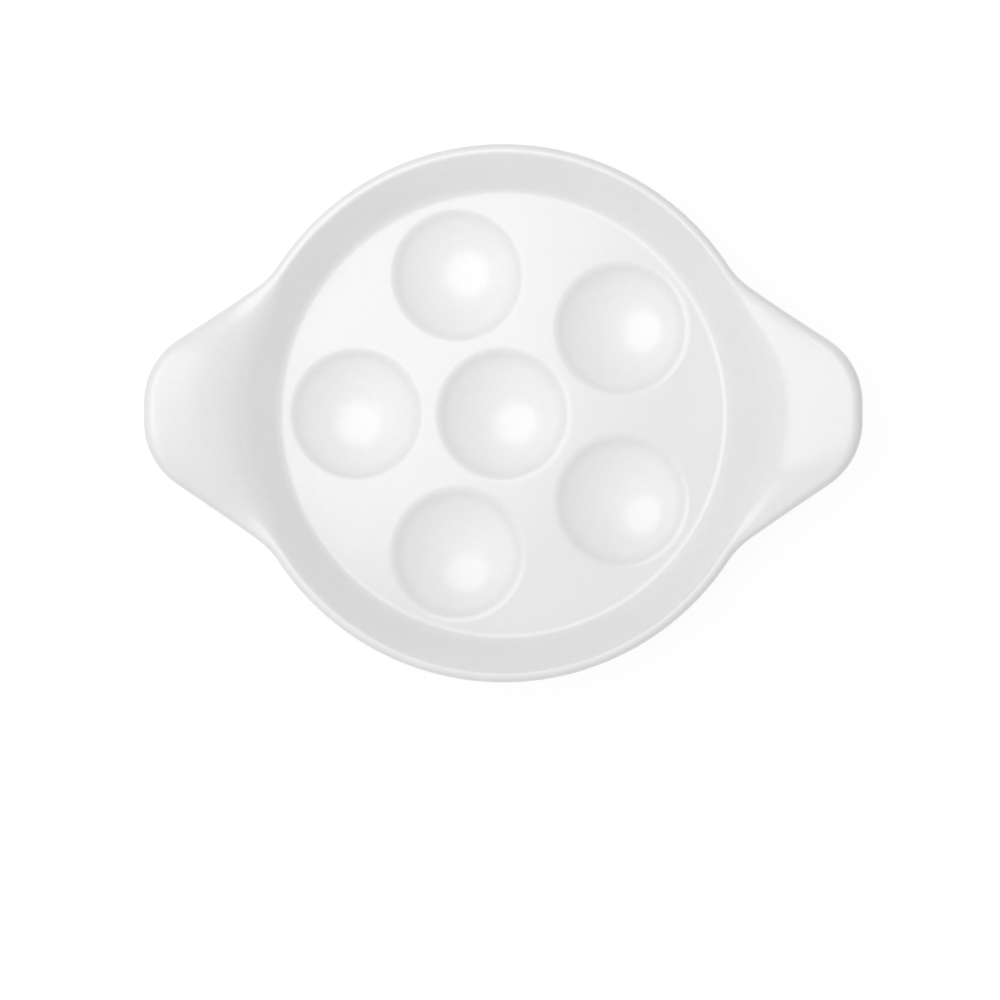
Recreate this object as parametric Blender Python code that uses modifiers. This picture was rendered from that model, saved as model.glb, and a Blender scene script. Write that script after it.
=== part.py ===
"""Six-well escargot plate in white glazed porcelain.

A round dish holds one well in the middle and five around it, and two lugs rise from its rim as
handles. The fired body is one casting: an eating side and an underside that meet round a rolled
edge. The glaze is a thin shell of glass over it, open at the six bare spots that the plate stands on.

Metres, +Z up. The plate stands on z = 0, its middle well on the Z axis and its handles along X.
"""

import math

import bmesh
import bpy
from mathutils import Vector

# Wells: sunk spherical bowls with rounded lips
RING_WELLS = 5
FIRST_WELL_ANGLE = math.pi            # one of the ring's wells faces the left handle
WELL_MOUTH_RADIUS = 0.0187            # where the bowl meets the floor, before its lip is rounded
WELL_DEPTH = 0.0070
WELL_LIP_RADIUS = 0.0040
WELL_LAND = 0.0019                    # narrowest strip between neighbouring wells

# Floor and underside
WELL_BASE_THICKNESS = 0.0035          # porcelain under the lowest point of a well
FLOOR_THICKNESS = 0.0045
FLOOR_MARGIN = 0.0003                 # flat floor between the ring's wells and the wall's fillet
BULGE_FILLET_RADIUS = 0.0022          # where a well's bulge leaves the underside
FOOT_RADIUS = 0.0085                  # bare standing spot under each well
FOOT_STEP = 0.0006                    # how far a standing spot is proud of its bulge
FOOT_CHAMFER = 0.0003

# Wall and rim
RIM_DEPTH = 0.0155                    # rim above floor
WALL_RUN = 0.0077                     # how far the inner wall leans outwards over that height
WALL_FILLET_RADIUS = 0.0040
RIM_WIDTH = 0.0030                    # from the wall's upper edge to the outside of the rim
EDGE_THICKNESS = 0.0042               # rolled edge of the rim and of the handles
OUTER_LEAN = math.radians(9.3)
BASE_CORNER_RADIUS = 0.0090

# Handles
HANDLE_LENGTH = 0.0242                # beyond the rim
HANDLE_ROOT_HALF_WIDTH = 0.0383       # where the flanks meet the rim's circle
HANDLE_END_HALF_WIDTH = 0.0138        # where the flanks meet the straight end
HANDLE_CORNER_RADIUS = 0.0220
HANDLE_NECK_RADIUS = 0.0250           # hollow curve from the rim into a flank
HANDLE_SLOPE = math.radians(26.0)
HANDLE_BEND_INSET = 0.0027            # the line where a handle turns up, inside the rim's radius
HANDLE_BEND_LENGTH = 0.0100
HANDLE_CROWN = 0.0040                 # extra height of the wall at the middle of a handle
HANDLE_BLEND = 0.0120                 # length of lug over which the rim turns into a handle
HANDLE_WALL_FILLET = 0.0040           # where the wall starts to turn into a handle's top
HANDLE_TOP_FILLET = 0.0130            # where that turn ends, along the handle
HANDLE_UNDER_FILLET = 0.0100

# Glaze
GLAZE_THICKNESS = 0.0003
GLAZE_CLEARANCE = 0.0001              # keeps the two solids apart

# Finishes: colour, roughness and weight of the clear coat
BARE_PORCELAIN = ((0.80, 0.77, 0.72), 0.6, 0.0)
WHITE_GLAZE = ((0.88, 0.88, 0.87), 0.1, 0.5)

# Smoothness of the mesh
WELL_STEPS = 18
WELL_BOWL_STEPS = 3
BULGE_STEPS = 2
FILLET_STEPS = 2
BEND_STEPS = 3
EDGE_STEPS = 5
CORNER_STEPS = 4
NECK_STEPS = 2
FLANK_STEPS = 2
RIM_STEPS = 7

# Share of a straight stretch that a fillet on it may take up
FILLET_SHARE = 0.8
WELD_DISTANCE = 1e-6
SHARP_ANGLE = math.radians(40.0)
UP = Vector((0.0, 0.0, 1.0))

# Heights
FLOOR_TOP = WELL_BASE_THICKNESS + WELL_DEPTH
BASE = FLOOR_TOP - FLOOR_THICKNESS
RIM_TOP = FLOOR_TOP + RIM_DEPTH

# A well's bowl is part of a sphere, and its bulge below is part of a larger one on the same centre
BOWL_RADIUS = (WELL_MOUTH_RADIUS ** 2 + WELL_DEPTH ** 2) / (2 * WELL_DEPTH)
BOWL_CENTRE = WELL_BASE_THICKNESS + BOWL_RADIUS
BOWL_ANGLE = math.asin(WELL_MOUTH_RADIUS / BOWL_RADIUS)
BULGE_RADIUS = math.hypot(BOWL_CENTRE - FOOT_STEP, FOOT_RADIUS)
BULGE_ANGLE = math.acos((BOWL_CENTRE - BASE) / BULGE_RADIUS)
FOOT_ANGLE = math.asin(FOOT_RADIUS / BULGE_RADIUS)
LIP_TANGENT = WELL_LIP_RADIUS * math.tan(BOWL_ANGLE / 2)
BULGE_TANGENT = BULGE_FILLET_RADIUS * math.tan(BULGE_ANGLE / 2)
LIP_REACH = WELL_MOUTH_RADIUS + LIP_TANGENT
BULGE_REACH = BULGE_RADIUS * math.sin(BULGE_ANGLE) + BULGE_TANGENT

# The ring of wells sets the floor, the floor sets the wall, and the wall sets the rim
WELL_PITCH = 2 * max(LIP_REACH, BULGE_REACH) + WELL_LAND
WALL_RISE = math.atan2(RIM_DEPTH, WALL_RUN)
WALL_TANGENT = WALL_FILLET_RADIUS * math.tan(WALL_RISE / 2)
WALL_FOOT_RADIUS = WELL_PITCH + LIP_REACH + FLOOR_MARGIN + WALL_TANGENT
EDGE_RADIUS = EDGE_THICKNESS / 2
RIM_RADIUS = WALL_FOOT_RADIUS + WALL_RUN + RIM_WIDTH
HANDLE_REACH = RIM_RADIUS + HANDLE_LENGTH


def outer_wall_radius(height):
    """Radius of the outer wall, a cone that just touches the rolled edge of the rim."""
    below_edge = RIM_TOP - EDGE_RADIUS - height
    touch = EDGE_RADIUS / math.cos(OUTER_LEAN) - EDGE_RADIUS
    return RIM_RADIUS + touch - below_edge * math.tan(OUTER_LEAN)


# The corner under the wall stops short of the bulges
BASE_CORNER = outer_wall_radius(BASE)
BASE_TANGENT = min(BASE_CORNER_RADIUS * math.tan((math.pi / 2 - OUTER_LEAN) / 2),
                   BASE_CORNER - WELL_PITCH - BULGE_REACH - FLOOR_MARGIN)


def smooth(share):
    """Ease from 0 to 1."""
    share = min(max(share, 0.0), 1.0)
    return share * share * (3 - 2 * share)


def rounded(before, corner, after, steps):
    """Points of a curve that leaves one point towards a corner and ends at another point."""
    points = []
    for step in range(steps + 1):
        t = step / steps
        points.append(before * (1 - t) ** 2 + corner * (2 * t * (1 - t)) + after * t ** 2)
    return points


def arc(centre, radius, start, end, steps, outward=1.0):
    """Points of an arc in plan, each with the outline's outward normal."""
    pairs = []
    for step in range(steps + 1):
        angle = start + (end - start) * step / steps
        spoke = Vector((math.cos(angle), math.sin(angle), 0.0))
        pairs.append((centre + spoke * radius, spoke * outward))
    return pairs


def quarter_outline():
    """Outline from the middle of the right handle's end round to the back of the rim."""
    root = Vector((math.sqrt(RIM_RADIUS ** 2 - HANDLE_ROOT_HALF_WIDTH ** 2), HANDLE_ROOT_HALF_WIDTH, 0.0))
    corner = Vector((HANDLE_REACH, HANDLE_END_HALF_WIDTH, 0.0))
    flank = (root - corner).normalized()
    normal = Vector((flank.y, -flank.x, 0.0))
    normal_angle = math.atan2(normal.y, normal.x)

    end_share = HANDLE_END_HALF_WIDTH * FILLET_SHARE / math.tan(normal_angle / 2)
    radius = min(HANDLE_CORNER_RADIUS, end_share)
    corner_centre = corner + Vector((-radius, -radius * math.tan(normal_angle / 2), 0.0))
    pairs = [(Vector((HANDLE_REACH, 0.0, 0.0)), Vector((1.0, 0.0, 0.0)))]
    pairs += arc(corner_centre, radius, 0.0, normal_angle, CORNER_STEPS)

    flank_offset = normal.dot(root)
    neck_reach = RIM_RADIUS + HANDLE_NECK_RADIUS
    neck_angle = normal_angle - math.acos((flank_offset + HANDLE_NECK_RADIUS) / neck_reach)
    neck = Vector((math.cos(neck_angle), math.sin(neck_angle), 0.0)) * neck_reach
    neck_pairs = arc(neck, HANDLE_NECK_RADIUS, normal_angle + math.pi, neck_angle + math.pi,
                     NECK_STEPS, -1.0)
    flank_start = pairs[-1][0]
    flank_end = neck_pairs[0][0]
    for step in range(1, FLANK_STEPS):
        pairs.append((flank_start.lerp(flank_end, step / FLANK_STEPS), normal))
    pairs += neck_pairs
    pairs += arc(Vector(), RIM_RADIUS, neck_angle, math.pi / 2, RIM_STEPS)[1:]
    return pairs


def mirrored(pairs, axis):
    """The same stretch of outline on the other side of the plate, run the other way."""
    sign = Vector((-1.0, 1.0, 1.0)) if axis == "X" else Vector((1.0, -1.0, 1.0))
    return [(point * sign, normal * sign) for point, normal in reversed(pairs)]


def full_outline():
    """Closed outline of the plate, from the right handle's end and against the clock."""
    quarter = quarter_outline()
    half = quarter + mirrored(quarter, "X")[1:]
    return half + mirrored(half, "Y")[1:-1]


def handle_rise(x):
    """Height of the edge above the rim: level, then a bend, then the handle's slope."""
    beyond = abs(x) - (RIM_RADIUS - HANDLE_BEND_INSET)
    half_bend = HANDLE_BEND_LENGTH / 2
    if beyond <= -half_bend:
        return 0.0
    if beyond >= half_bend:
        return beyond * math.tan(HANDLE_SLOPE)
    return (beyond + half_bend) ** 2 / (4 * half_bend) * math.tan(HANDLE_SLOPE)


def rolled_edge(point, normal, bend, lug):
    """Round edge of the rim or of a handle, from its top over the outside to its underside."""
    centre = point - normal * EDGE_RADIUS
    centre.z = RIM_TOP - EDGE_RADIUS + handle_rise(centre.x)
    run = centre + UP * EDGE_RADIUS - bend
    slope = run.z / math.hypot(run.x, run.y) * normal.dot(point.normalized())
    outwards = (normal + UP * slope).normalized()
    upwards = (UP - outwards * outwards.z).normalized()
    start = math.pi / 2
    end = -OUTER_LEAN + (OUTER_LEAN - math.pi / 2) * lug
    points = []
    for step in range(EDGE_STEPS + 1):
        angle = start + (end - start) * step / EDGE_STEPS
        points.append(centre + (outwards * math.cos(angle) + upwards * math.sin(angle)) * EDGE_RADIUS)
    return points


def wall_section(point, normal):
    """One slice of the wall, from the floor over the rim or a handle to the underside."""
    radial = point.normalized()
    lug = smooth((point.length - RIM_RADIUS) / HANDLE_BLEND)

    foot = radial * WALL_FOOT_RADIUS + UP * FLOOR_TOP
    up_wall = radial * math.cos(WALL_RISE) + UP * math.sin(WALL_RISE)
    bend = foot + up_wall * ((RIM_DEPTH + HANDLE_CROWN * lug) / up_wall.z)
    edge = rolled_edge(point, normal, bend, lug)
    out_along = (edge[0] - bend).normalized()
    top_fillet = min(HANDLE_TOP_FILLET, (edge[0] - bend).length * FILLET_SHARE)
    wall_fillet = min(HANDLE_WALL_FILLET, top_fillet)

    hollow_height = bend.z - EDGE_THICKNESS
    hollow = radial * outer_wall_radius(hollow_height) + UP * hollow_height
    down_wall = radial * -math.sin(OUTER_LEAN) - UP * math.cos(OUTER_LEAN)
    base_corner = radial * BASE_CORNER + UP * BASE
    wall_left = (hollow - base_corner).length - BASE_TANGENT
    under_along = (edge[-1] - hollow).normalized()
    under_fillet = min(HANDLE_UNDER_FILLET, (edge[-1] - hollow).length * FILLET_SHARE)
    down_fillet = min(under_fillet, wall_left * FILLET_SHARE)

    points = rounded(foot - radial * WALL_TANGENT, foot, foot + up_wall * WALL_TANGENT, FILLET_STEPS)
    points += rounded(bend - up_wall * wall_fillet, bend, bend + out_along * top_fillet, BEND_STEPS)
    points += edge
    points += rounded(hollow + under_along * under_fillet, hollow,
                      hollow + down_wall * down_fillet, BEND_STEPS)
    points += rounded(base_corner - down_wall * BASE_TANGENT, base_corner,
                      base_corner - radial * BASE_TANGENT, BEND_STEPS)
    return points


def loft(bm, sections):
    """Skin through a closed run of sections; returns its first and last edge loops."""
    rows = [[bm.verts.new(point) for point in section] for section in sections]
    last = len(sections[0]) - 1
    for row, following in zip(rows, rows[1:] + rows[:1]):
        for step in range(last):
            bm.faces.new((row[step], following[step], following[step + 1], row[step + 1]))
    loops = []
    for step in (0, last):
        ring = [row[step] for row in rows]
        loops.append([bm.edges.get(pair) for pair in zip(ring, ring[1:] + ring[:1])])
    return loops


def sphere_points(radius, start, end, steps):
    """Profile along a well's sphere, between two angles from straight down."""
    points = []
    for step in range(steps + 1):
        angle = start + (end - start) * step / steps
        points.append(Vector((radius * math.sin(angle), 0.0, BOWL_CENTRE - radius * math.cos(angle))))
    return points


def bowl_profile():
    """Half profile of a well: rounded lip, then the bowl down to its middle."""
    mouth = Vector((WELL_MOUTH_RADIUS, 0.0, FLOOR_TOP))
    floor_end = mouth + Vector((LIP_TANGENT, 0.0, 0.0))
    lip_end_angle = BOWL_ANGLE - LIP_TANGENT / BOWL_RADIUS
    bowl = sphere_points(BOWL_RADIUS, lip_end_angle, 0.0, WELL_BOWL_STEPS)
    return rounded(floor_end, mouth, bowl[0], FILLET_STEPS) + bowl[1:]


def bulge_profile():
    """Half profile under a well: hollow fillet, bulge, then the standing spot's edge."""
    corner = Vector((BULGE_RADIUS * math.sin(BULGE_ANGLE), 0.0, BASE))
    base_end = corner + Vector((BULGE_TANGENT, 0.0, 0.0))
    fillet_end_angle = BULGE_ANGLE - BULGE_TANGENT / BULGE_RADIUS
    bulge = sphere_points(BULGE_RADIUS, fillet_end_angle, FOOT_ANGLE, BULGE_STEPS)
    foot_edge = Vector((FOOT_RADIUS - FOOT_CHAMFER, 0.0, 0.0))
    return rounded(base_end, corner, bulge[0], FILLET_STEPS) + bulge[1:] + [foot_edge, Vector()]


def well_centres():
    """The middle well, then the ring of wells round it."""
    centres = [Vector()]
    for number in range(RING_WELLS):
        angle = FIRST_WELL_ANGLE + 2 * math.pi * number / RING_WELLS
        centres.append(Vector((math.cos(angle), math.sin(angle), 0.0)) * WELL_PITCH)
    return centres


def turn(bm, profile, centre):
    """Turn a half profile about a well's axis; returns the edge loop round its mouth."""
    verts = [bm.verts.new(point + centre) for point in profile]
    edges = [bm.edges.new(pair) for pair in zip(verts, verts[1:])]
    bmesh.ops.spin(bm, geom=verts + edges, cent=centre, axis=UP, angle=2 * math.pi, steps=WELL_STEPS,
                   use_merge=True)
    mouth_height = profile[0].z
    return [edge for edge in bm.edges if edge.is_boundary
            and all(abs(vert.co.z - mouth_height) < WELD_DISTANCE for vert in edge.verts)
            and all(abs((vert.co - centre).xy.length - profile[0].x) < WELD_DISTANCE for vert in edge.verts)]


def make_material(name, colour, roughness, coat):
    """Plain opaque material."""
    material = bpy.data.materials.new(name)
    material.use_nodes = True
    shader = material.node_tree.nodes["Principled BSDF"]
    shader.inputs["Base Color"].default_value = (*colour, 1.0)
    shader.inputs["Roughness"].default_value = roughness
    shader.inputs["Metallic"].default_value = 0.0
    shader.inputs["Coat Weight"].default_value = coat
    return material


def add_object(name, bm, material, collection):
    """Turn a bmesh into a smooth-shaded object."""
    mesh = bpy.data.meshes.new(name)
    bm.to_mesh(mesh)
    bm.free()
    mesh.shade_smooth()
    mesh.set_sharp_from_angle(angle=SHARP_ANGLE)
    mesh.materials.append(material)
    part = bpy.data.objects.new(name, mesh)
    collection.objects.link(part)
    return part


def make_body(collection):
    """Fired porcelain: lofted wall and handles, flat floor and underside, six wells and bulges."""
    bm = bmesh.new()
    sections = [wall_section(point, normal) for point, normal in full_outline()]
    floor_edges, base_edges = loft(bm, sections)
    for centre in well_centres():
        floor_edges += turn(bm, bowl_profile(), centre)
        base_edges += turn(bm, bulge_profile(), centre)
    for edges in (floor_edges, base_edges):
        bmesh.ops.triangle_fill(bm, edges=edges, use_beauty=True, normal=UP)
    bmesh.ops.remove_doubles(bm, verts=bm.verts[:], dist=WELD_DISTANCE)
    bmesh.ops.recalc_face_normals(bm, faces=bm.faces[:])
    porcelain = make_material("bare_porcelain", *BARE_PORCELAIN)
    return add_object("porcelain_body", bm, porcelain, collection)


def make_glaze(body, collection):
    """Glaze: the body's skin without its standing spots, lifted clear and thickened outwards."""
    bm = bmesh.new()
    bm.from_mesh(body.data)
    bare = [face for face in bm.faces if face.calc_center_median().z < FOOT_STEP - WELD_DISTANCE]
    bmesh.ops.delete(bm, geom=bare, context="FACES")
    white = make_material("white_glaze", *WHITE_GLAZE)
    glaze = add_object("glaze_coat", bm, white, collection)
    lift = glaze.modifiers.new("clear of the body", "DISPLACE")
    lift.mid_level = 0.0
    lift.strength = GLAZE_CLEARANCE
    shell = glaze.modifiers.new("thickness", "SOLIDIFY")
    shell.thickness = GLAZE_THICKNESS
    shell.offset = 1.0
    return glaze


def main():
    for old in list(bpy.data.objects):
        bpy.data.objects.remove(old, do_unlink=True)
    collection = bpy.data.collections.new("escargot_plate")
    bpy.context.scene.collection.children.link(collection)
    body = make_body(collection)
    make_glaze(body, collection)


main()
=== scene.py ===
"""Looks of the white glazed escargot plate, seen from straight above on a white floor.

The fired body and its glaze are built again in the same way as the solids, with far finer steps, so that
reflections run smoothly over the wells, the wall and the handles. The rim is a little narrower and rounder
than that of the solids, and the handles rise from it more softly. Metres, +Z up.
"""

import math

import bmesh
import bpy
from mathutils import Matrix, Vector
from mathutils.kdtree import KDTree


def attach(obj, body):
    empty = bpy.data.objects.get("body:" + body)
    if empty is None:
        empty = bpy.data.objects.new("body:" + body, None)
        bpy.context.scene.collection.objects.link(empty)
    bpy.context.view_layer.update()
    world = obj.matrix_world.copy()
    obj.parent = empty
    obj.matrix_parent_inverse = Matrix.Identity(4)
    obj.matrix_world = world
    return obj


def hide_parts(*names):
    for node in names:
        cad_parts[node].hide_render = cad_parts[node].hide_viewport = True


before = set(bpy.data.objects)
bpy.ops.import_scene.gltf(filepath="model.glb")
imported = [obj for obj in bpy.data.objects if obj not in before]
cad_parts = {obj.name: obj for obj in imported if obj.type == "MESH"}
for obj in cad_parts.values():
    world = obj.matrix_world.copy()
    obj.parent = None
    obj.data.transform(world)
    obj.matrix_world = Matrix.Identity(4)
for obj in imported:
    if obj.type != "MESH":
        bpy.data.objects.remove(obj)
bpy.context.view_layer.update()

# Wells
RING_WELLS = 5
FIRST_WELL_ANGLE = math.pi            # towards the left handle
WELL_MOUTH_RADIUS = 0.0187
WELL_DEPTH = 0.0070
WELL_LIP_RADIUS = 0.0040
WELL_LAND = 0.0019                    # narrowest strip between neighbouring wells

# Floor and underside
WELL_BASE_THICKNESS = 0.0035          # porcelain under the lowest point of a well
FLOOR_THICKNESS = 0.0045
FLOOR_MARGIN = 0.0003                 # flat floor between the ring's wells and the wall's fillet
BULGE_FILLET_RADIUS = 0.0022          # where a well's bulge leaves the underside
FOOT_RADIUS = 0.0085                  # bare standing spot under each well
FOOT_STEP = 0.0006                    # how far a standing spot is proud of its bulge
FOOT_CHAMFER = 0.0003

# Wall and rim
RIM_DEPTH = 0.0155                    # rim above floor
WALL_RUN = 0.0087                     # how far the inner wall leans outwards over that height
WALL_FILLET_RADIUS = 0.0040
RIM_WIDTH = 0.00214                   # from the wall's upper edge to the outside of the rim
RIM_THICKNESS = 0.0027
OUTER_LEAN = math.radians(9.3)        # of the outer wall, from upright
BASE_CORNER_RADIUS = 0.0090

# Handles
HANDLE_LENGTH = 0.0242                # beyond the rim
HANDLE_THICKNESS = 0.0042
HANDLE_ROOT_HALF_WIDTH = 0.0383       # where the flanks meet the rim's circle
HANDLE_END_HALF_WIDTH = 0.0138        # where the flanks meet the straight end
HANDLE_CORNER_RADIUS = 0.0220
HANDLE_NECK_RADIUS = 0.0250           # hollow curve from the rim into a flank
HANDLE_SLOPE = math.radians(26.0)
HANDLE_BEND_INSET = 0.0027            # the line where a handle turns up, inside the rim's radius
HANDLE_BEND_LENGTH = 0.0100
HANDLE_CROWN = 0.0040                 # extra height of the wall at the middle of a handle
HANDLE_BLEND = 0.0120                 # length of lug over which the rim's edge turns into a handle's
HANDLE_WALL_FILLET = 0.0065           # where the wall starts to turn into a handle's top
HANDLE_TOP_FILLET = 0.0130            # where that turn ends, along the handle
HANDLE_UNDER_FILLET = 0.0100

# Shares of a straight stretch that a fillet on it may take up; the rim's top is nearly all fillet
FILLET_SHARE = 0.8
RIM_FILLET_SHARE = 0.95

# Glaze
GLAZE_THICKNESS = 0.0003
GLAZE_CLEARANCE = 0.0001              # keeps the two pieces apart
FLAT_POOL = 0.1                       # depths of glaze, in shares of the deepest; deeper glaze is also painted lighter, as painted light
HOLLOW_POOL = 0.45
POOL_MARGIN = 0.2                     # of a well's radius, where its pool and its painted light fade out
# Glaze colours: thin on the floor, lips and edges, lighter where deep; the lighter deep colour is partly
# real pooled glaze and partly painted light in the wells and at the wall's foot
THIN_GLAZE = (0.845, 0.844, 0.842, 1.0)
DEEP_GLAZE_AND_PAINTED_LIGHT = (0.915, 0.915, 0.915, 1.0)
GLAZE_IOR = 1.75
GLAZE_ROUGHNESS = (0.08, 0.15)
GLAZE_MOTTLE = (0.985, 1.012)         # darkest and lightest, in shares of the colour
MOTTLES = ((0.018, 2.0), (0.0018, 2.0))  # each noise: size of its lumps, detail
MOTTLE_RANGE = (0.7, 1.3)             # most of their sum lies between these
CLOUD = (0.012, 3.0)                  # patches of more and less gloss
WAVE = (0.011, 1.0)                   # slow ripple of the surface
PEEL = (0.0011, 2.0)                  # fine relief like orange peel
PEEL_SHARE = 0.04                     # of the ripple's height
GLAZE_BUMP = 0.00005

# Bare standing spots
BARE_COLOURS = ((0.72, 0.69, 0.64, 1.0), (0.84, 0.81, 0.76, 1.0))
SCUFF_COLOUR = (0.42, 0.41, 0.40, 1.0)
BARE_ROUGHNESS = (0.75, 0.5)          # clean, scuffed
GRAIN = (0.0004, 4.0)
SCUFFS = ((0.006, 3.0), (0.0009, 3.0))
SCUFF_RANGE = (0.30, 0.42)
SCUFF_SHARE = 0.5
POLISH_RANGE = (0.2, 0.4)             # scuffing that smooths the grain
BARE_BUMP = 0.00004
NOISE_RANGE = (0.3, 0.7)              # most of a noise lies between these

# Fine steps of the mesh
WELL_STEPS = 96
WELL_BOWL_STEPS = 14
BULGE_STEPS = 6
FILLET_STEPS = 6
WALL_STEPS = 4
BEND_STEPS = 8
TOP_STEPS = 5
EDGE_STEPS = 12
CORNER_STEPS = 14
NECK_STEPS = 10
FLANK_STEPS = 8
RIM_STEPS = 28
WELD_DISTANCE = 1e-6
SHARP_ANGLE = math.radians(50.0)

UP = Vector((0.0, 0.0, 1.0))
WHITE = (1.0, 1.0, 1.0, 1.0)

# Heights and radii that follow from these sizes: a well's bowl and its bulge are parts of two spheres on one
# centre, the ring of wells sets the floor, the floor sets the wall, and the wall sets the rim
FLOOR_TOP = WELL_BASE_THICKNESS + WELL_DEPTH
BASE = FLOOR_TOP - FLOOR_THICKNESS
RIM_TOP = FLOOR_TOP + RIM_DEPTH
BOWL_RADIUS = (WELL_MOUTH_RADIUS ** 2 + WELL_DEPTH ** 2) / (2 * WELL_DEPTH)
BOWL_CENTRE = WELL_BASE_THICKNESS + BOWL_RADIUS
BOWL_ANGLE = math.asin(WELL_MOUTH_RADIUS / BOWL_RADIUS)
BULGE_RADIUS = math.hypot(BOWL_CENTRE - FOOT_STEP, FOOT_RADIUS)
BULGE_ANGLE = math.acos((BOWL_CENTRE - BASE) / BULGE_RADIUS)
FOOT_ANGLE = math.asin(FOOT_RADIUS / BULGE_RADIUS)
LIP_TANGENT = WELL_LIP_RADIUS * math.tan(BOWL_ANGLE / 2)
BULGE_TANGENT = BULGE_FILLET_RADIUS * math.tan(BULGE_ANGLE / 2)
LIP_REACH = WELL_MOUTH_RADIUS + LIP_TANGENT
BULGE_REACH = BULGE_RADIUS * math.sin(BULGE_ANGLE) + BULGE_TANGENT
WELL_PITCH = 2 * max(LIP_REACH, BULGE_REACH) + WELL_LAND
WALL_RISE = math.atan2(RIM_DEPTH, WALL_RUN)
WALL_TANGENT = WALL_FILLET_RADIUS * math.tan(WALL_RISE / 2)
WALL_FOOT_RADIUS = WELL_PITCH + LIP_REACH + FLOOR_MARGIN + WALL_TANGENT
RIM_EDGE_RADIUS = RIM_THICKNESS / 2
HANDLE_EDGE_RADIUS = HANDLE_THICKNESS / 2
RIM_RADIUS = WALL_FOOT_RADIUS + WALL_RUN + RIM_WIDTH
HANDLE_REACH = RIM_RADIUS + HANDLE_LENGTH

# Camera: straight above, a little in front of the plate's middle
CAMERA_HEIGHT = 0.812                 # above the rim
CAMERA_LEFT = 0.00094
CAMERA_FRONT = 0.02466
IMAGE_PIXELS = 1000
RIM_PIXELS = 539.5                    # width of the rim in the photograph
SENSOR_WIDTH = 36.0                   # millimetres, as the lens

# Light and studio
SOFTBOX_PLACE = Vector((-0.060, 0.049, 0.200))
SOFTBOX_SIZE = 0.25
SOFTBOX_MIDDLE = (0.5, 0.5, 0.0)      # in shares of its size
SOFTBOX_FADE = (0.25, 0.50)           # its light fades out between these distances from the middle
SOFTBOX_RADIANCE = 1.11
SKY_BASE = 0.535
SKY_GLOW = 0.58
SKY_FOCUS = 2.5                       # how narrow the glow is
SKY_MIDDLE = Vector((-0.39, -0.04, 0.92))  # towards the middle of the glow
STUDIO_FLOOR_COLOUR = (0.90, 0.90, 0.90, 1.0)
STUDIO_FLOOR_SIZE = 6.0
BACKGROUND_SHARE = 0.7                # of the studio floor's look that is plain white
BACKGROUND_STRENGTH = 1.15


def outer_wall_radius(height):
    """Radius of the outer wall, a cone that just touches the rolled edge of the rim."""
    below_edge = RIM_TOP - RIM_EDGE_RADIUS - height
    touch = RIM_EDGE_RADIUS / math.cos(OUTER_LEAN) - RIM_EDGE_RADIUS
    return RIM_RADIUS + touch - below_edge * math.tan(OUTER_LEAN)


# Where that cone meets the underside, and how far the round corner there reaches
BASE_CORNER = outer_wall_radius(BASE)
BASE_TANGENT = min(BASE_CORNER_RADIUS * math.tan((math.pi / 2 - OUTER_LEAN) / 2),
                   BASE_CORNER - WELL_PITCH - BULGE_REACH - FLOOR_MARGIN)


def smooth(share):
    """Ease from 0 to 1."""
    share = min(max(share, 0.0), 1.0)
    return share * share * (3 - 2 * share)


def rounded(before, corner, after, steps):
    """Points of a curve that leaves one point towards a corner and ends at another point."""
    points = []
    for step in range(steps + 1):
        t = step / steps
        points.append(before * (1 - t) ** 2 + corner * (2 * t * (1 - t)) + after * t ** 2)
    return points


def between(start, end, steps):
    """Points inside a straight stretch, without its ends."""
    return [start.lerp(end, step / steps) for step in range(1, steps)]


def arc(centre, radius, start, end, steps, outward=1.0):
    """Points of an arc in plan, each with the outline's outward normal."""
    pairs = []
    for step in range(steps + 1):
        angle = start + (end - start) * step / steps
        spoke = Vector((math.cos(angle), math.sin(angle), 0.0))
        pairs.append((centre + spoke * radius, spoke * outward))
    return pairs


def quarter_outline():
    """Outline from the middle of the right handle's end round to the back of the rim."""
    root = Vector((math.sqrt(RIM_RADIUS ** 2 - HANDLE_ROOT_HALF_WIDTH ** 2), HANDLE_ROOT_HALF_WIDTH, 0.0))
    corner = Vector((HANDLE_REACH, HANDLE_END_HALF_WIDTH, 0.0))
    flank = (root - corner).normalized()
    normal = Vector((flank.y, -flank.x, 0.0))
    normal_angle = math.atan2(normal.y, normal.x)

    end_share = HANDLE_END_HALF_WIDTH * FILLET_SHARE / math.tan(normal_angle / 2)
    radius = min(HANDLE_CORNER_RADIUS, end_share)
    corner_centre = corner + Vector((-radius, -radius * math.tan(normal_angle / 2), 0.0))
    pairs = [(Vector((HANDLE_REACH, 0.0, 0.0)), Vector((1.0, 0.0, 0.0)))]
    pairs += arc(corner_centre, radius, 0.0, normal_angle, CORNER_STEPS)

    flank_offset = normal.dot(root)
    neck_reach = RIM_RADIUS + HANDLE_NECK_RADIUS
    neck_angle = normal_angle - math.acos((flank_offset + HANDLE_NECK_RADIUS) / neck_reach)
    neck = Vector((math.cos(neck_angle), math.sin(neck_angle), 0.0)) * neck_reach
    neck_pairs = arc(neck, HANDLE_NECK_RADIUS, normal_angle + math.pi, neck_angle + math.pi,
                     NECK_STEPS, -1.0)
    pairs += [(point, normal) for point in between(pairs[-1][0], neck_pairs[0][0], FLANK_STEPS)]
    pairs += neck_pairs
    pairs += arc(Vector(), RIM_RADIUS, neck_angle, math.pi / 2, RIM_STEPS)[1:]
    return pairs


def mirrored(pairs, axis):
    """The same stretch of outline on the other side of the plate, run the other way."""
    sign = Vector((-1.0, 1.0, 1.0)) if axis == "X" else Vector((1.0, -1.0, 1.0))
    return [(point * sign, normal * sign) for point, normal in reversed(pairs)]


def full_outline():
    """Closed outline of the plate, from the right handle's end and against the clock."""
    quarter = quarter_outline()
    half = quarter + mirrored(quarter, "X")[1:]
    return half + mirrored(half, "Y")[1:-1]


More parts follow.
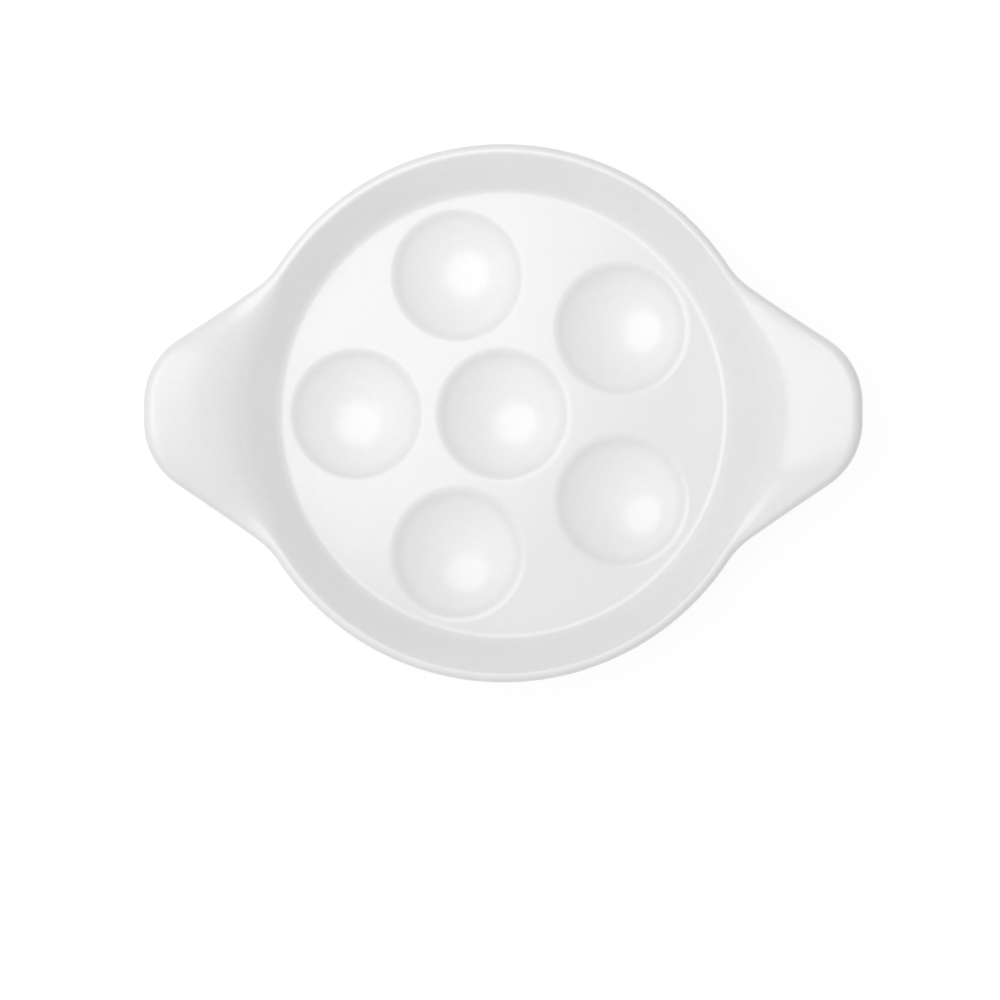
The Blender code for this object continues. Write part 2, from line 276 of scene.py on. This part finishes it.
def handle_rise(x):
    """Height of the edge above the rim: level, then a bend, then the handle's slope."""
    beyond = abs(x) - (RIM_RADIUS - HANDLE_BEND_INSET)
    half_bend = HANDLE_BEND_LENGTH / 2
    if beyond <= -half_bend:
        return 0.0
    if beyond >= half_bend:
        return beyond * math.tan(HANDLE_SLOPE)
    return (beyond + half_bend) ** 2 / (4 * half_bend) * math.tan(HANDLE_SLOPE)


def rolled_edge(point, normal, bend, lug):
    """Round edge of the rim (lug 0) or of a handle (lug 1), from its top over the outside downwards."""
    radius = RIM_EDGE_RADIUS + (HANDLE_EDGE_RADIUS - RIM_EDGE_RADIUS) * lug
    centre = point - normal * radius
    centre.z = RIM_TOP - radius + handle_rise(centre.x)
    run = centre + UP * radius - bend
    slope = run.z / math.hypot(run.x, run.y) * normal.dot(point.normalized())
    outwards = (normal + UP * slope).normalized()
    upwards = (UP - outwards * outwards.z).normalized()
    # The rim's edge ends where it meets the outer wall, a handle's at its underside
    start = math.pi / 2
    end = -OUTER_LEAN + (OUTER_LEAN - math.pi / 2) * lug
    points = []
    for step in range(EDGE_STEPS + 1):
        angle = start + (end - start) * step / EDGE_STEPS
        points.append(centre + (outwards * math.cos(angle) + upwards * math.sin(angle)) * radius)
    return points


def wall_section(point, normal):
    """One slice of the wall, from the floor over the rim or a handle to the underside."""
    radial = point.normalized()
    beyond_rim = point.length - RIM_RADIUS
    lug = smooth(beyond_rim / HANDLE_BLEND)
    crown = HANDLE_CROWN * smooth(beyond_rim / HANDLE_LENGTH)

    foot = radial * WALL_FOOT_RADIUS + UP * FLOOR_TOP
    up_wall = radial * math.cos(WALL_RISE) + UP * math.sin(WALL_RISE)
    bend = foot + up_wall * ((RIM_DEPTH + crown) / up_wall.z)
    edge = rolled_edge(point, normal, bend, lug)
    out_along = (edge[0] - bend).normalized()
    top_fillet = min(HANDLE_TOP_FILLET, (edge[0] - bend).length * RIM_FILLET_SHARE)
    wall_fillet = min(HANDLE_WALL_FILLET, top_fillet)

    hollow_height = bend.z - RIM_THICKNESS - (HANDLE_THICKNESS - RIM_THICKNESS) * lug
    hollow = radial * outer_wall_radius(hollow_height) + UP * hollow_height
    down_wall = radial * -math.sin(OUTER_LEAN) - UP * math.cos(OUTER_LEAN)
    base_corner = radial * BASE_CORNER + UP * BASE
    wall_left = (hollow - base_corner).length - BASE_TANGENT
    under_along = (edge[-1] - hollow).normalized()
    under_fillet = min(HANDLE_UNDER_FILLET, (edge[-1] - hollow).length * FILLET_SHARE)
    down_fillet = min(under_fillet, wall_left * FILLET_SHARE)

    floor_fillet = rounded(foot - radial * WALL_TANGENT, foot, foot + up_wall * WALL_TANGENT, FILLET_STEPS)
    top_bend = rounded(bend - up_wall * wall_fillet, bend, bend + out_along * top_fillet, BEND_STEPS)
    under_bend = rounded(hollow + under_along * under_fillet, hollow, hollow + down_wall * down_fillet,
                         BEND_STEPS)
    base_bend = rounded(base_corner - down_wall * BASE_TANGENT, base_corner,
                        base_corner - radial * BASE_TANGENT, BEND_STEPS)
    points = floor_fillet + between(floor_fillet[-1], top_bend[0], WALL_STEPS)
    points += top_bend + between(top_bend[-1], edge[0], TOP_STEPS)
    points += edge + between(edge[-1], under_bend[0], TOP_STEPS)
    points += under_bend + between(under_bend[-1], base_bend[0], WALL_STEPS)
    return points + base_bend


def loft(bm, sections):
    """Skin through a closed run of sections; returns its first and last edge loops."""
    rows = [[bm.verts.new(point) for point in section] for section in sections]
    last = len(sections[0]) - 1
    for row, following in zip(rows, rows[1:] + rows[:1]):
        for step in range(last):
            bm.faces.new((row[step], following[step], following[step + 1], row[step + 1]))
    loops = []
    for step in (0, last):
        ring = [row[step] for row in rows]
        loops.append([bm.edges.get(pair) for pair in zip(ring, ring[1:] + ring[:1])])
    return loops


def sphere_points(radius, start, end, steps):
    """Profile along a well's sphere, between two angles from straight down."""
    points = []
    for step in range(steps + 1):
        angle = start + (end - start) * step / steps
        points.append(Vector((radius * math.sin(angle), 0.0, BOWL_CENTRE - radius * math.cos(angle))))
    return points


def bowl_profile():
    """Half profile of a well: rounded lip, then the bowl down to its middle."""
    mouth = Vector((WELL_MOUTH_RADIUS, 0.0, FLOOR_TOP))
    floor_end = mouth + Vector((LIP_TANGENT, 0.0, 0.0))
    lip_end_angle = BOWL_ANGLE - LIP_TANGENT / BOWL_RADIUS
    bowl = sphere_points(BOWL_RADIUS, lip_end_angle, 0.0, WELL_BOWL_STEPS)
    return rounded(floor_end, mouth, bowl[0], FILLET_STEPS) + bowl[1:]


def bulge_profile():
    """Half profile under a well: hollow fillet, bulge, then the standing spot's edge."""
    corner = Vector((BULGE_RADIUS * math.sin(BULGE_ANGLE), 0.0, BASE))
    base_end = corner + Vector((BULGE_TANGENT, 0.0, 0.0))
    fillet_end_angle = BULGE_ANGLE - BULGE_TANGENT / BULGE_RADIUS
    bulge = sphere_points(BULGE_RADIUS, fillet_end_angle, FOOT_ANGLE, BULGE_STEPS)
    foot_edge = Vector((FOOT_RADIUS - FOOT_CHAMFER, 0.0, 0.0))
    return rounded(base_end, corner, bulge[0], FILLET_STEPS) + bulge[1:] + [foot_edge, Vector()]


def well_centres():
    """The middle well, then the ring of wells round it."""
    centres = [Vector()]
    for number in range(RING_WELLS):
        angle = FIRST_WELL_ANGLE + 2 * math.pi * number / RING_WELLS
        centres.append(Vector((math.cos(angle), math.sin(angle), 0.0)) * WELL_PITCH)
    return centres


def turn(bm, profile, centre):
    """Turn a half profile about a well's axis; returns the edge loop round its mouth."""
    verts = [bm.verts.new(point + centre) for point in profile]
    edges = [bm.edges.new(pair) for pair in zip(verts, verts[1:])]
    bmesh.ops.spin(bm, geom=verts + edges, cent=centre, axis=UP, angle=2 * math.pi, steps=WELL_STEPS,
                   use_merge=True)
    mouth_height = profile[0].z
    return [edge for edge in bm.edges if edge.is_boundary
            and all(abs(vert.co.z - mouth_height) < WELD_DISTANCE for vert in edge.verts)
            and all(abs((vert.co - centre).xy.length - profile[0].x) < WELD_DISTANCE for vert in edge.verts)]


def add_piece(name, bm, material):
    """Turn a bmesh into a smooth-shaded object."""
    mesh = bpy.data.meshes.new(name)
    bm.to_mesh(mesh)
    bm.free()
    mesh.shade_smooth()
    mesh.set_sharp_from_angle(angle=SHARP_ANGLE)
    mesh.materials.append(material)
    piece = bpy.data.objects.new(name, mesh)
    bpy.context.scene.collection.objects.link(piece)
    return piece


def even_shading(piece):
    """Large flat faces keep flat shading where a fillet starts."""
    weighted = piece.modifiers.new("even shading", "WEIGHTED_NORMAL")
    weighted.keep_sharp = True


def make_body(material):
    """Fired porcelain: lofted wall and handles, flat floor and underside, six wells and bulges."""
    bm = bmesh.new()
    sections = [wall_section(point, normal) for point, normal in full_outline()]
    floor_edges, base_edges = loft(bm, sections)
    for centre in well_centres():
        floor_edges += turn(bm, bowl_profile(), centre)
        base_edges += turn(bm, bulge_profile(), centre)
    for edges in (floor_edges, base_edges):
        bmesh.ops.triangle_fill(bm, edges=edges, use_beauty=True, normal=UP)
    bmesh.ops.remove_doubles(bm, verts=bm.verts[:], dist=WELD_DISTANCE)
    bmesh.ops.recalc_face_normals(bm, faces=bm.faces[:])
    return add_piece("fired_body", bm, material)


def glaze_pools_and_painted_light(bm):
    """Store how deep the melted glaze lies: deep in wells and hollows, thin on lips and edges. The same
    share also paints light into the wells and the wall's foot, which come out lighter than the floor.
    """
    outline = [point for point, _ in full_outline()]
    tree = KDTree(len(outline))
    for number, point in enumerate(outline):
        tree.insert(point, number)
    tree.balance()
    centres = well_centres()
    layer = bm.verts.layers.float.new("glaze_pool_and_painted_light")
    bm.normal_update()
    for vert in bm.verts:
        _, _, from_edge = tree.find(vert.co * Vector((1.0, 1.0, 0.0)))
        edge = smooth((from_edge - RIM_EDGE_RADIUS / 2) / RIM_THICKNESS)
        pooling_and_painted_light = FLAT_POOL
        # Wells and the wall's foot get more of the lighter deep glaze: partly pooled glaze, partly painted
        # light
        if vert.normal.z > 0.0:
            from_well = min((vert.co - centre).xy.length for centre in centres)
            from_hollow = abs(vert.co.xy.length - WALL_FOOT_RADIUS)
            in_well = smooth((1.0 - from_well / WELL_MOUTH_RADIUS) / POOL_MARGIN)
            in_hollow = HOLLOW_POOL * smooth(1.0 - from_hollow / WALL_FILLET_RADIUS)
            lip = smooth(1.0 - abs(from_well - WELL_MOUTH_RADIUS) / LIP_TANGENT)
            pooling_and_painted_light = (FLAT_POOL + (1.0 - FLAT_POOL) * max(in_well, in_hollow)) * (1.0 - lip)
        vert[layer] = pooling_and_painted_light * edge


def make_glaze(body, material):
    """Glaze: the body's skin without its standing spots, lifted clear and thickened outwards."""
    bm = bmesh.new()
    bm.from_mesh(body.data)
    bare = [face for face in bm.faces if face.calc_center_median().z < FOOT_STEP - WELD_DISTANCE]
    bmesh.ops.delete(bm, geom=bare, context="FACES")
    glaze_pools_and_painted_light(bm)
    glaze = add_piece("glaze", bm, material)
    lift = glaze.modifiers.new("clear of the body", "DISPLACE")
    lift.mid_level = 0.0
    lift.strength = GLAZE_CLEARANCE
    shell = glaze.modifiers.new("thickness", "SOLIDIFY")
    shell.thickness = GLAZE_THICKNESS
    shell.offset = 1.0
    return glaze


class Surface:
    """Nodes of one material, laid over the piece in metres."""

    def __init__(self, name):
        self.material = bpy.data.materials.new(name)
        self.material.use_nodes = True
        self.nodes = self.material.node_tree.nodes
        self.links = self.material.node_tree.links
        self.shader = self.nodes["Principled BSDF"]
        self.place = self.nodes.new("ShaderNodeTexCoord").outputs["Object"]

    def noise(self, size, detail):
        """Soft noise whose lumps are about this size."""
        node = self.nodes.new("ShaderNodeTexNoise")
        node.inputs["Scale"].default_value = 1.0 / size
        node.inputs["Detail"].default_value = detail
        self.links.new(self.place, node.inputs["Vector"])
        return node.outputs["Fac"]

    def spread(self, value, given, wanted):
        """Stretch a value from the given range to the wanted one."""
        node = self.nodes.new("ShaderNodeMapRange")
        for end, level in zip(("Min", "Max"), zip(given, wanted)):
            node.inputs["From " + end].default_value = level[0]
            node.inputs["To " + end].default_value = level[1]
        self.links.new(value, node.inputs["Value"])
        return node.outputs["Result"]

    def reckon(self, operation, first, second):
        """Two values, or a value and a number, put together."""
        node = self.nodes.new("ShaderNodeMath")
        node.operation = operation
        self.links.new(first, node.inputs[0])
        if isinstance(second, float):
            node.inputs[1].default_value = second
        else:
            self.links.new(second, node.inputs[1])
        return node.outputs[0]

    def blend(self, share, first, second):
        """Two colours mixed by a share."""
        node = self.nodes.new("ShaderNodeMix")
        node.data_type = "RGBA"
        self.links.new(share, node.inputs["Factor"])
        for socket, colour in ((node.inputs["A"], first), (node.inputs["B"], second)):
            if isinstance(colour, tuple):
                socket.default_value = colour
            else:
                self.links.new(colour, socket)
        return node.outputs["Result"]

    def shade(self, colour, level):
        """A colour made a little lighter or darker."""
        node = self.nodes.new("ShaderNodeVectorMath")
        node.operation = "SCALE"
        self.links.new(colour, node.inputs["Vector"])
        self.links.new(level, node.inputs["Scale"])
        return node.outputs["Vector"]

    def finish(self, colour, roughness, height, bump_depth):
        """Join colour, roughness and relief to the shader."""
        bump = self.nodes.new("ShaderNodeBump")
        bump.inputs["Distance"].default_value = bump_depth
        self.links.new(height, bump.inputs["Height"])
        self.links.new(bump.outputs["Normal"], self.shader.inputs["Normal"])
        self.links.new(colour, self.shader.inputs["Base Color"])
        self.links.new(roughness, self.shader.inputs["Roughness"])
        return self.material


def glaze_material():
    """Glossy white glaze: whiter where it has pooled, which also paints light into the wells and the wall's
    foot; a little wavy and faintly mottled.
    """
    surface = Surface("white_glaze")
    # Painted light: the wells and the wall's foot are made lighter with the deep glaze colour, besides real
    # pooling
    glaze_pool_and_painted_light = surface.nodes.new("ShaderNodeAttribute")
    glaze_pool_and_painted_light.attribute_name = "glaze_pool_and_painted_light"
    white = surface.blend(glaze_pool_and_painted_light.outputs["Fac"], THIN_GLAZE, DEEP_GLAZE_AND_PAINTED_LIGHT)
    mottle = surface.reckon("ADD", *(surface.noise(*lumps) for lumps in MOTTLES))
    white = surface.shade(white, surface.spread(mottle, MOTTLE_RANGE, GLAZE_MOTTLE))
    roughness = surface.spread(surface.noise(*CLOUD), NOISE_RANGE, GLAZE_ROUGHNESS)
    wave = surface.noise(*WAVE)
    peel = surface.reckon("MULTIPLY", surface.noise(*PEEL), PEEL_SHARE)
    surface.shader.inputs["IOR"].default_value = GLAZE_IOR
    return surface.finish(white, roughness, surface.reckon("ADD", wave, peel), GLAZE_BUMP)


def porcelain_material():
    """Bare fired porcelain: fine grain, pale speckle and grey scuffs from standing on tables."""
    surface = Surface("bare_porcelain")
    grain = surface.noise(*GRAIN)
    tone = surface.blend(surface.spread(grain, NOISE_RANGE, (0.0, 1.0)), *BARE_COLOURS)
    scuff = surface.reckon("MULTIPLY", *(surface.noise(*lumps) for lumps in SCUFFS))
    tone = surface.blend(surface.spread(scuff, SCUFF_RANGE, (0.0, SCUFF_SHARE)), tone, SCUFF_COLOUR)
    roughness = surface.spread(scuff, POLISH_RANGE, BARE_ROUGHNESS)
    return surface.finish(tone, roughness, grain, BARE_BUMP)


def floor_material():
    """Pale floor that looks white in the open and keeps part of the plate's shadow."""
    material = bpy.data.materials.new("white_floor")
    material.use_nodes = True
    nodes = material.node_tree.nodes
    links = material.node_tree.links
    nodes.clear()
    path = nodes.new("ShaderNodeLightPath")
    seen = nodes.new("ShaderNodeMath")
    seen.operation = "MAXIMUM"
    links.new(path.outputs["Is Camera Ray"], seen.inputs[0])
    links.new(path.outputs["Is Glossy Ray"], seen.inputs[1])
    through = nodes.new("ShaderNodeMath")
    through.operation = "MAXIMUM"
    links.new(seen.outputs[0], through.inputs[0])
    links.new(path.outputs["Is Transmission Ray"], through.inputs[1])
    share = nodes.new("ShaderNodeMath")
    share.operation = "MULTIPLY"
    share.inputs[1].default_value = BACKGROUND_SHARE
    links.new(through.outputs[0], share.inputs[0])
    matt = nodes.new("ShaderNodeBsdfDiffuse")
    matt.inputs["Color"].default_value = STUDIO_FLOOR_COLOUR
    glow = nodes.new("ShaderNodeEmission")
    glow.inputs["Strength"].default_value = BACKGROUND_STRENGTH
    mix = nodes.new("ShaderNodeMixShader")
    links.new(share.outputs[0], mix.inputs["Fac"])
    links.new(matt.outputs[0], mix.inputs[1])
    links.new(glow.outputs[0], mix.inputs[2])
    output = nodes.new("ShaderNodeOutputMaterial")
    links.new(mix.outputs[0], output.inputs["Surface"])
    return material


def make_floor():
    """Wide white floor under the plate."""
    mesh = bpy.data.meshes.new("floor")
    bm = bmesh.new()
    bmesh.ops.create_grid(bm, x_segments=1, y_segments=1, size=STUDIO_FLOOR_SIZE / 2)
    bm.to_mesh(mesh)
    bm.free()
    mesh.materials.append(floor_material())
    floor = bpy.data.objects.new("floor", mesh)
    bpy.context.scene.collection.objects.link(floor)


def make_world():
    """Pale surroundings, brightest overhead and a little to the left, white where they are seen."""
    world = bpy.data.worlds.new("studio")
    bpy.context.scene.world = world
    world.use_nodes = True
    nodes = world.node_tree.nodes
    links = world.node_tree.links
    nodes.clear()
    place = nodes.new("ShaderNodeTexCoord")
    towards = nodes.new("ShaderNodeVectorMath")
    towards.operation = "DOT_PRODUCT"
    towards.inputs[1].default_value = SKY_MIDDLE.normalized()
    above = nodes.new("ShaderNodeMath")
    above.operation = "MAXIMUM"
    above.inputs[1].default_value = 0.0
    focus = nodes.new("ShaderNodeMath")
    focus.operation = "POWER"
    focus.inputs[1].default_value = SKY_FOCUS
    level = nodes.new("ShaderNodeMath")
    level.operation = "MULTIPLY_ADD"
    level.inputs[1].default_value = SKY_GLOW
    level.inputs[2].default_value = SKY_BASE
    links.new(place.outputs["Generated"], towards.inputs[0])
    links.new(towards.outputs["Value"], above.inputs[0])
    links.new(above.outputs[0], focus.inputs[0])
    links.new(focus.outputs[0], level.inputs[0])
    lit = nodes.new("ShaderNodeBackground")
    links.new(level.outputs[0], lit.inputs["Strength"])
    path = nodes.new("ShaderNodeLightPath")
    seen = nodes.new("ShaderNodeBackground")
    mix = nodes.new("ShaderNodeMixShader")
    links.new(path.outputs["Is Camera Ray"], mix.inputs["Fac"])
    links.new(lit.outputs[0], mix.inputs[1])
    links.new(seen.outputs[0], mix.inputs[2])
    for background in (lit, seen):
        background.inputs["Color"].default_value = WHITE
    output = nodes.new("ShaderNodeOutputWorld")
    links.new(mix.outputs[0], output.inputs["Surface"])


def make_softbox():
    """Soft light that looks straight down, even in its middle and dark at its edge."""
    light = bpy.data.lights.new("softbox", "AREA")
    light.shape = "SQUARE"
    light.size = SOFTBOX_SIZE
    light.energy = SOFTBOX_RADIANCE * math.pi * SOFTBOX_SIZE ** 2
    light.use_nodes = True
    nodes = light.node_tree.nodes
    links = light.node_tree.links
    across = nodes.new("ShaderNodeNewGeometry")
    from_middle = nodes.new("ShaderNodeVectorMath")
    from_middle.operation = "DISTANCE"
    from_middle.inputs[1].default_value = SOFTBOX_MIDDLE
    fade = nodes.new("ShaderNodeMapRange")
    fade.interpolation_type = "SMOOTHSTEP"
    fade.inputs["From Min"].default_value = SOFTBOX_FADE[0]
    fade.inputs["From Max"].default_value = SOFTBOX_FADE[1]
    fade.inputs["To Min"].default_value = 1.0
    fade.inputs["To Max"].default_value = 0.0
    links.new(across.outputs["Parametric"], from_middle.inputs[0])
    links.new(from_middle.outputs["Value"], fade.inputs["Value"])
    links.new(fade.outputs["Result"], nodes["Emission"].inputs["Strength"])
    lamp = bpy.data.objects.new("softbox", light)
    lamp.location = SOFTBOX_PLACE
    lamp.visible_camera = False
    bpy.context.scene.collection.objects.link(lamp)


def make_camera():
    """Camera that looks straight down, with the rim as wide as in the photograph."""
    rim_height = RIM_TOP + GLAZE_CLEARANCE + GLAZE_THICKNESS
    rim_width = 2 * (RIM_RADIUS + GLAZE_CLEARANCE + GLAZE_THICKNESS)
    data = bpy.data.cameras.new("camera")
    data.sensor_width = SENSOR_WIDTH
    data.lens = SENSOR_WIDTH * CAMERA_HEIGHT * RIM_PIXELS / (rim_width * IMAGE_PIXELS)
    camera = bpy.data.objects.new("camera", data)
    camera.location = (-CAMERA_LEFT, -CAMERA_FRONT, rim_height + CAMERA_HEIGHT)
    bpy.context.scene.collection.objects.link(camera)
    bpy.context.scene.camera = camera


body = make_body(porcelain_material())
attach(body, "root")
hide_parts("porcelain_body")

glaze = make_glaze(body, glaze_material())
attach(glaze, "root")
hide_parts("glaze_coat")

for piece in (body, glaze):
    even_shading(piece)

make_floor()
make_world()
make_softbox()
make_camera()
bpy.context.scene.view_settings.view_transform = "Standard"
